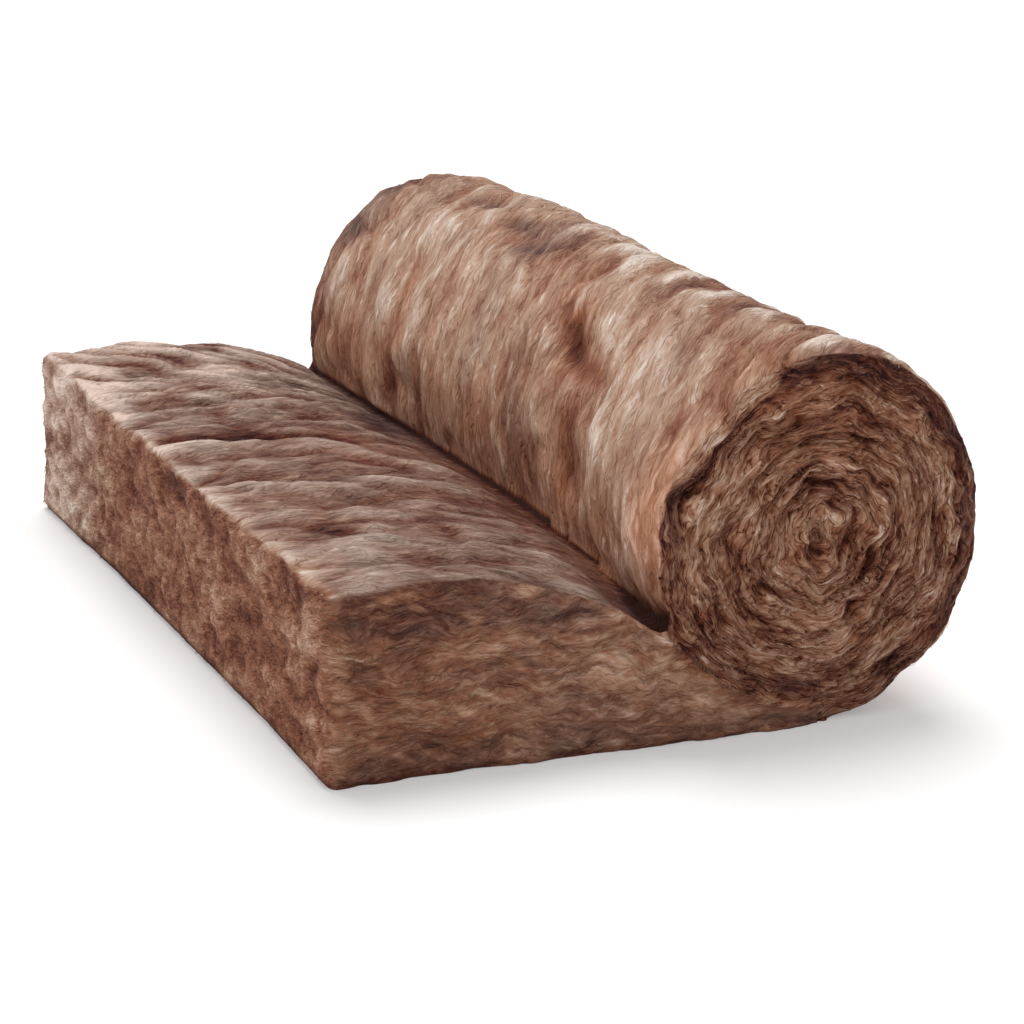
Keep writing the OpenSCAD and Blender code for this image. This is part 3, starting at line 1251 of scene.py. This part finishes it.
    def _mesh(self, points: np.ndarray, tone: np.ndarray, warm: np.ndarray) -> bpy.types.Object:
        """Join all strands into one mesh.

        Args:
            points: Eleven points for each strand.
            tone: Tone of each strand.
            warm: Warmth of each strand.

        Returns:
            The object, linked to the scene.
        """
        total = len(points)
        tris = [(0, 2, 1), (0, 3, 2), (0, 1, 3), (10, 7, 8), (10, 8, 9), (10, 9, 7)]
        quads = []
        for ring in (1, 4):
            for j in range(3):
                k = (j + 1) % 3
                quads.append((ring + j, ring + k, ring + 3 + k, ring + 3 + j))
        loops = np.array([i for face in tris + quads for i in face])
        sizes = np.array([3] * len(tris) + [4] * len(quads))
        base = np.arange(total)[:, None] * points.shape[1]
        mesh = bpy.data.meshes.new(self.name)
        mesh.vertices.add(total * points.shape[1])
        mesh.vertices.foreach_set("co", points.astype(np.float32).ravel())
        mesh.loops.add(total * len(loops))
        mesh.loops.foreach_set("vertex_index", (base + loops).ravel().astype(np.int32))
        mesh.polygons.add(total * len(sizes))
        starts = np.arange(total)[:, None] * len(loops) + np.concatenate([[0], np.cumsum(sizes)[:-1]])
        mesh.polygons.foreach_set("loop_start", starts.ravel().astype(np.int32))
        mesh.update(calc_edges=True)
        mesh.polygons.foreach_set("use_smooth", np.ones(total * len(sizes), dtype=bool))
        along = np.concatenate([[0.0], np.repeat(RING_AT[1:4], 3), [1.0]])
        shade = tone[:, None] - 0.05 + 0.12 * along[None, :]
        set_attribute(mesh, "tone", "POINT", shade.ravel())
        set_attribute(mesh, "warm", "POINT", np.repeat(warm, points.shape[1]))
        self._lay_out(mesh, total, loops, along)
        strands = bpy.data.objects.new(self.name, mesh)
        bpy.context.collection.objects.link(strands)
        return strands

    @staticmethod
    def _lay_out(mesh: bpy.types.Mesh, total: int, loops: np.ndarray, along: np.ndarray) -> None:
        """Give every strand a cell of its own on a new UV map named OFBake.

        Args:
            mesh: The mesh of all strands.
            total: How many strands it has.
            loops: One strand's face corners.
            along: Share of its length at each of its points.
        """
        cells = math.ceil(math.sqrt(total))
        number = np.arange(total)
        origin = stack(number % cells, number // cells)[:, None, :]
        across = np.array([0.5, 0.1, 0.5, 0.9, 0.1, 0.5, 0.9, 0.1, 0.5, 0.9, 0.5])
        local = stack(0.1 + 0.8 * across[loops], 0.1 + 0.8 * along[loops])
        layer = mesh.uv_layers.new(name="OFBake")
        layer.uv.foreach_set("vector", ((origin + local) / cells).astype(np.float32).ravel())


def srgb(*levels: int) -> tuple[float, float, float, float]:
    """Turn a colour as a screen shows it, from 0 to 255, into the linear one that nodes use."""
    parts = [v / 255 for v in levels]
    return (*[p / 12.92 if p <= 0.04045 else ((p + 0.055) / 1.055) ** 2.4 for p in parts], 1.0)


@dataclass(frozen=True)
class WoolFinish:
    """Brown mineral wool: its colours from the darkest, used for painted shade in gaps and the nip, to the
    palest fibre.
    """

    ramp: tuple = (
        (0.00, (54, 13, 5)),
        (0.22, (100, 47, 31)),
        (0.46, (146, 98, 74)),
        (0.70, (185, 149, 125)),
        (1.00, (231, 216, 203)),
    )
    cool: tuple = (112, 97, 89)
    warm: tuple = (180, 102, 56)
    roughness: float = 0.9
    sheen: float = 0.04


@dataclass(frozen=True)
class Nap:
    """How the fibre of one kind of face lies: sizes in metres, strengths as shares of tone."""

    name: str
    lock: tuple
    fibre: tuple
    lock_tone: float
    fibre_tone: float
    crack_shade_tone: float
    wisp_tone: float
    warp: float
    relief: float


NAPS = {
    Zone.ROLL: Nap("Wool combed", (0.034, 0.0090), (0.010, 0.0030), 0.40, 0.33, 0.10, 0.16, 0.018, 0.0050),
    Zone.LAP: Nap("Wool pleated", (0.026, 0.0110), (0.008, 0.0032), 0.50, 0.38, 0.10, 0.14, 0.016, 0.0060),
    Zone.CUT: Nap("Wool cut", (0.016, 0.0070), (0.006, 0.0022), 0.48, 0.60, 0.12, 0.09, 0.010, 0.0065),
    Zone.END: Nap("Wool wound", (0.020, 0.0048), (0.008, 0.0016), 0.72, 0.68, 0.30, 0.22, 0.010, 0.0070),
    Zone.SIDE: Nap("Wool layered", (0.030, 0.0075), (0.012, 0.0020), 0.50, 0.55, 0.06, 0.12, 0.012, 0.0070),
}
NAP_OF_ZONE = (Zone.ROLL, Zone.LAP, Zone.CUT, Zone.END, Zone.SIDE, Zone.LAP)


class Graph:
    """A node tree that is filled node by node."""

    def __init__(self, tree: bpy.types.NodeTree) -> None:
        """Take over a tree."""
        self.tree = tree

    def feed(self, socket: bpy.types.NodeSocket, value: object) -> None:
        """Link an input to another node's output, or give it a fixed value.

        Args:
            socket: The input.
            value: An output, or a number, vector or colour.
        """
        if isinstance(value, bpy.types.NodeSocket):
            self.tree.links.new(value, socket)
        else:
            socket.default_value = value

    def add(self, kind: str, inputs: dict | None = None, **settings: object) -> bpy.types.Node:
        """Add a node.

        Args:
            kind: Its type, without the leading words.
            inputs: What its inputs get, by name or number.
            settings: Its other properties.

        Returns:
            The node.
        """
        node = self.tree.nodes.new(f"ShaderNode{kind}")
        for name, value in settings.items():
            setattr(node, name, value)
        for key, value in (inputs or {}).items():
            self.feed(node.inputs[key], value)
        return node

    def maths(self, operation: str, *values: object, clamp: bool = False) -> bpy.types.NodeSocket:
        """Add a calculation with numbers.

        Args:
            operation: What it does.
            values: Its inputs in order.
            clamp: Whether its result stays from 0 to 1.

        Returns:
            The socket with the result.
        """
        return self.add("Math", dict(enumerate(values)), operation=operation, use_clamp=clamp).outputs[0]

    def vectors(self, operation: str, inputs: dict) -> bpy.types.NodeSocket:
        """Add a calculation with vectors.

        Args:
            operation: What it does.
            inputs: What its inputs get, by name or number.

        Returns:
            The socket with the result.
        """
        return self.add("VectorMath", inputs, operation=operation).outputs[0]

    def mix(
        self, factor: bpy.types.NodeSocket, first: object, second: object, blend: str = "MIX"
    ) -> bpy.types.NodeSocket:
        """Mix two colours.

        Args:
            factor: Share of the second.
            first: The first colour.
            second: The second colour.
            blend: How they are mixed.

        Returns:
            The socket with the mixed colour.
        """
        node = self.add("Mix", data_type="RGBA", blend_type=blend)
        sides = [i for i in node.inputs if i.type == "RGBA"]
        self.feed(node.inputs["Factor"], factor)
        self.feed(sides[0], first)
        self.feed(sides[1], second)
        return [o for o in node.outputs if o.type == "RGBA"][0]


class Group(Graph):
    """A node group, with its nodes for what goes in and what comes out."""

    def __init__(self, name: str, inputs: dict, outputs: dict) -> None:
        """Start the group.

        Args:
            name: Its name.
            inputs: Kind of each input, Float, Vector or Color, by name.
            outputs: Kind of each output by name.
        """
        super().__init__(bpy.data.node_groups.new(name, "ShaderNodeTree"))
        for way, sockets in (("INPUT", inputs), ("OUTPUT", outputs)):
            for socket, kind in sockets.items():
                self.tree.interface.new_socket(socket, in_out=way, socket_type=f"NodeSocket{kind}")
        self.source = self.tree.nodes.new("NodeGroupInput").outputs
        self.sink = self.tree.nodes.new("NodeGroupOutput").inputs


class WoolShop:
    """Makes the wool's node groups and materials."""

    def __init__(self, finish: WoolFinish) -> None:
        """Build the groups that the materials share.

        Args:
            finish: The wool's colours.
        """
        self.finish = finish
        self.colour_group = self._make_colour_group()
        self.fibre_group = self._make_fibre_group()

    def _make_colour_group(self) -> bpy.types.ShaderNodeTree:
        """Make the group that turns a tone and a warmth into wool's colour."""
        group = Group("Wool colour", {"Tone": "Float", "Warmth": "Float"}, {"Colour": "Color"})
        ramp = group.add("ValToRGB", {"Fac": group.source["Tone"]})
        stops = ramp.color_ramp.elements
        while len(stops) < len(self.finish.ramp):
            stops.new(0.5)
        for stop, (at, colour) in zip(stops, self.finish.ramp):
            stop.position = at
            stop.color = srgb(*colour)
        colour = ramp.outputs["Color"]
        for tint, gain in ((self.finish.cool, -0.5), (self.finish.warm, 0.5)):
            amount = group.maths("MULTIPLY", group.source["Warmth"], gain, clamp=True)
            colour = group.mix(amount, colour, srgb(*tint), "COLOR")
        group.feed(group.sink["Colour"], colour)
        return group.tree

    def _make_fibre_group(self) -> bpy.types.ShaderNodeTree:
        """Make the group that draws felted fibre along the flow of a face."""
        sizes = ("Lock Length", "Lock Width", "Fibre Length", "Fibre Width", "Warp")
        masks = ("Locks", "Fibres", "Cracks", "Wisps", "Height")
        inputs = {"Flow": "Vector"} | dict.fromkeys(sizes, "Float")
        group = Group("Felted fibre", inputs, dict.fromkeys(masks, "Float"))
        flow = self._warped(group)
        locks = self._streaks(group, flow, "Lock", (1.0, 1.0), 2.0)
        fibres = self._streaks(group, flow, "Fibre", (1.0, 1.0), 3.0)
        gaps = self._streaks(group, flow, "Lock", (1.6, 1.1), 1.0)
        loose = self._streaks(group, flow, "Lock", (1.4, 0.8), 1.0)
        flanks = [self._ramped(group, gaps, level, 0.5) for level in (0.455, 0.545)]
        cracks = group.maths("MINIMUM", *flanks)
        wisps = self._ramped(group, loose, 0.60, 0.72)
        height = locks
        for part, gain in ((fibres, 0.45), (cracks, -0.22), (wisps, 0.15)):
            height = group.maths("MULTIPLY_ADD", part, gain, height)
        for name, value in zip(masks, (locks, fibres, cracks, wisps, height)):
            group.feed(group.sink[name], value)
        return group.tree

    @staticmethod
    def _warped(group: Group) -> bpy.types.NodeSocket:
        """Make the flow wander, so that no fibre runs straight.

        Args:
            group: The group.

        Returns:
            The socket with the wandering flow.
        """
        flow = group.source["Flow"]
        noise = group.add("TexNoise", {"Vector": flow, "Scale": 38.0, "Detail": 2.0})
        centred = group.vectors("SUBTRACT", {0: noise.outputs["Color"], 1: (0.5, 0.5, 0.5)})
        scaled = group.vectors("SCALE", {0: centred, "Scale": group.source["Warp"]})
        return group.vectors("ADD", {0: flow, 1: scaled})

    @staticmethod
    def _streaks(
        group: Group, flow: bpy.types.NodeSocket, kind: str, stretch_by: tuple, detail: float
    ) -> bpy.types.NodeSocket:
        """Add noise that is drawn out along the flow.

        Args:
            group: The group.
            flow: The flow, as a vector.
            kind: Lock or Fibre, whose length and width the noise takes.
            stretch_by: Factors on that length and width.
            detail: Octaves of the noise.

        Returns:
            The socket with the noise, from 0 to 1.
        """
        length, width = (group.source[f"{kind} {side}"] for side in ("Length", "Width"))
        size = group.add("CombineXYZ", {"X": length, "Y": length, "Z": width}).outputs[0]
        factor = group.vectors("MULTIPLY", {0: size, 1: (stretch_by[0], stretch_by[0], stretch_by[1])})
        stretch = group.vectors("DIVIDE", {0: flow, 1: factor})
        look = {"Vector": stretch, "Scale": 1.0, "Detail": detail, "Roughness": 0.6, "Distortion": 0.4}
        return group.add("TexNoise", look).outputs[0]

    @staticmethod
    def _ramped(group: Group, value: bpy.types.NodeSocket, low: float, high: float) -> bpy.types.NodeSocket:
        """Turn a noise's levels into a mask.

        Args:
            group: The group.
            value: The noise.
            low: Level at which the mask is 0.
            high: Level at which it is 1.

        Returns:
            The socket with the mask.
        """
        levels = {"Value": value, "From Min": low, "From Max": high}
        return group.add("MapRange", levels, interpolation_type="SMOOTHSTEP").outputs["Result"]

    def _start(self, name: str) -> tuple:
        """Begin a material with its shader and the stored tone and warmth.

        Args:
            name: The material's name.

        Returns:
            The material, its Principled node, the colour group's node and the tone's socket.
        """
        material = bpy.data.materials.new(name)
        material.use_nodes = True
        graph = Graph(material.node_tree)
        shader = material.node_tree.nodes["Principled BSDF"]
        shader.inputs["Roughness"].default_value = self.finish.roughness
        shader.inputs["Specular IOR Level"].default_value = 0.15
        shader.inputs["Sheen Weight"].default_value = self.finish.sheen
        shader.inputs["Sheen Roughness"].default_value = 0.6
        tone, warm = (graph.add("Attribute", attribute_name=n).outputs["Fac"] for n in ("tone", "warm"))
        colour = graph.add("Group", {"Warmth": warm}, node_tree=self.colour_group)
        graph.feed(shader.inputs["Base Color"], colour.outputs["Colour"])
        return material, shader, colour, tone

    def face_material(self, nap: Nap) -> bpy.types.Material:
        """Make the wool of one kind of face, with fibre drawn in colour and relief.

        Args:
            nap: How the fibre lies there.

        Returns:
            The material.
        """
        material, shader, colour, tone = self._start(nap.name)
        graph = Graph(material.node_tree)
        fibre = graph.add("Group", node_tree=self.fibre_group)
        graph.feed(fibre.inputs["Flow"], graph.add("Attribute", attribute_name="flow").outputs["Vector"])
        for kind, size in (("Lock", nap.lock), ("Fibre", nap.fibre)):
            fibre.inputs[f"{kind} Length"].default_value = size[0]
            fibre.inputs[f"{kind} Width"].default_value = size[1]
        fibre.inputs["Warp"].default_value = nap.warp
        # Locks, fibres and wisps are painted paler where the bump rises and cracks darker where it sinks:
        # partly painted light and shade on the fibre's relief, partly its own streaky tone.
        for socket, middle, gain in (
            ("Locks", 0.5, nap.lock_tone),
            ("Fibres", 0.5, nap.fibre_tone),
            ("Cracks", 0.15, -nap.crack_shade_tone),
            ("Wisps", 0.1, nap.wisp_tone),
        ):
            centred = graph.maths("SUBTRACT", fibre.outputs[socket], middle)
            tone = graph.maths("MULTIPLY_ADD", centred, gain, tone)
        graph.feed(colour.inputs["Tone"], tone)
        bump = graph.add("Bump", {"Strength": 0.8, "Distance": nap.relief, "Height": fibre.outputs["Height"]})
        graph.feed(shader.inputs["Normal"], bump.outputs["Normal"])
        return material

    def dress(self, body: bpy.types.Object, zones: np.ndarray) -> None:
        """Give the blanket's faces the material of their zone.

        Args:
            body: The blanket.
            zones: The zone of each of its faces.
        """
        order = list(NAPS)
        for zone in order:
            body.data.materials.append(self.face_material(NAPS[zone]))
        slots = np.array([order.index(kind) for kind in NAP_OF_ZONE], dtype=np.int32)
        body.data.polygons.foreach_set("material_index", slots[zones])
        body.data.update()

    def strand_material(self) -> bpy.types.Material:
        """Make the wool of the loose strands."""
        material, _, colour, tone = self._start("Wool strands")
        Graph(material.node_tree).feed(colour.inputs["Tone"], tone)
        return material


@dataclass(frozen=True)
class Lamp:
    """A wide soft light, far off."""

    name: str
    towards: tuple
    strength: float
    spread: float
    for_floor: bool = False

    def hang(self, floor: bpy.types.Object) -> None:
        """Add the light, shining from the given side, on the floor alone or on all but the floor.

        Args:
            floor: The floor.
        """
        x, y, z = self.towards
        deselect()
        bpy.ops.object.light_add(type="SUN", location=(3 * x, 3 * y, 3 * z))
        lamp = bpy.context.active_object
        lamp.name = self.name
        lamp.data.energy = self.strength
        lamp.data.angle = math.radians(self.spread)
        lamp.rotation_euler = (math.atan2(math.hypot(x, y), z), 0, math.atan2(x, -y))
        lit = bpy.data.collections.new(f"Lit by {self.name}")
        lit.objects.link(floor)
        lit.collection_objects[0].light_linking.link_state = "INCLUDE" if self.for_floor else "EXCLUDE"
        lamp.light_linking.receiver_collection = lit


@dataclass(frozen=True)
class Studio:
    """Camera, lights and floor."""

    camera_at: tuple = (-1.4049, -3.5293, 1.2153)
    pitch: float = 0.285098
    yaw: float = -0.393789
    lens: float = 114.093
    sky: float = 0.55
    floor_white: float = 0.95
    floor_glow: float = 0.27
    floor_shade: float = 0.79
    lamps: tuple = (
        Lamp("Key", (-0.40, 0.22, 0.88), 1.45, 70),
        Lamp("Rim", (0.30, 0.70, 0.62), 0.7, 40),
        Lamp("Back", (0.14, 0.42, 0.90), 2.4, 40, for_floor=True),
    )

    def build(self) -> None:
        """Set up everything round the object."""
        self._camera()
        self._sky()
        floor = self._floor()
        for lamp in self.lamps:
            lamp.hang(floor)
        bpy.context.scene.view_settings.view_transform = "Standard"

    def _camera(self) -> None:
        """Put the camera where the photograph was taken from."""
        deselect()
        turn = (math.pi / 2 - self.pitch, 0, self.yaw)
        bpy.ops.object.camera_add(location=self.camera_at, rotation=turn)
        camera = bpy.context.active_object
        camera.data.lens = self.lens
        camera.data.sensor_width = SENSOR_WIDTH
        bpy.context.scene.camera = camera

    def _sky(self) -> None:
        """Light the scene evenly from all round."""
        world = bpy.data.worlds.new("Sky")
        world.use_nodes = True
        background = world.node_tree.nodes["Background"]
        background.inputs["Color"].default_value = WHITE
        background.inputs["Strength"].default_value = self.sky
        bpy.context.scene.world = world

    def _floor(self) -> bpy.types.Object:
        """Lay a wide pale floor and return it."""
        deselect()
        bpy.ops.mesh.primitive_plane_add(size=FLOOR_SIZE, location=(0, 0, 0))
        floor = bpy.context.active_object
        floor.name = "floor"
        material = bpy.data.materials.new("Pale floor")
        material.use_nodes = True
        shader = material.node_tree.nodes["Principled BSDF"]
        shader.inputs["Roughness"].default_value = 1.0
        shader.inputs["Specular IOR Level"].default_value = 0.0
        shader.inputs["Emission Color"].default_value = WHITE
        graph = Graph(material.node_tree)
        path = graph.add("LightPath")
        seen = path.outputs["Is Camera Ray"]
        for kind in ("Is Glossy Ray", "Is Transmission Ray"):
            seen = graph.maths("MAXIMUM", seen, path.outputs[kind])
        white = (*[self.floor_white] * 3, 1.0)
        shaded = (*[self.floor_white * self.floor_shade] * 3, 1.0)
        graph.feed(shader.inputs["Emission Strength"], graph.maths("MULTIPLY", seen, self.floor_glow))
        graph.feed(shader.inputs["Base Color"], graph.mix(seen, white, shaded))
        floor.data.materials.append(material)
        return floor


COATS = (
    Strands(
        "roll_strands", (Zone.ROLL,), 900, 6, (0.014, 0.038), (0.0002, 0.0006),
        0.0025, 0.0045, 0.40, 101, 0.04,
    ),
    Strands(
        "lap_strands", (Zone.LAP,), 600, 6, (0.010, 0.024), (0.0002, 0.0006),
        0.0025, 0.0045, 0.50, 102, 0.03,
    ),
    Strands(
        "cut_tufts", (Zone.CUT,), 1000, 6, (0.005, 0.014), (0.0003, 0.0009),
        0.0035, 0.0040, 0.60, 103, 0.05,
    ),
    Strands(
        "end_tufts", (Zone.END,), 1800, 6, (0.006, 0.016), (0.0003, 0.0008),
        0.0035, 0.0035, 0.40, 104, 0.05,
    ),
    Strands(
        "side_tufts", (Zone.SIDE,), 1300, 6, (0.008, 0.020), (0.0003, 0.0008),
        0.0030, 0.0035, 0.40, 105, 0.05,
    ),
)


def main() -> None:
    """Build the blanket, its strands and the studio."""
    logging.basicConfig(level=logging.INFO, format="%(message)s")
    shop = WoolShop(WoolFinish())
    blanket = Blanket()
    body = blanket.build()
    shop.dress(body, blanket.zones)
    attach(body, "root")
    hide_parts("blanket")
    coat = Coat(body, blanket)
    log.info("%s: %d triangles", body.name, len(coat.corners))
    strand_wool = shop.strand_material()
    for strands in COATS:
        piece = strands.build(coat)
        piece.data.materials.append(strand_wool)
        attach(piece, "root")
        log.info("%s: %d strands", piece.name, len(piece.data.vertices) // STRAND_POINTS)
    Studio().build()


if __name__ == "__main__":
    main()
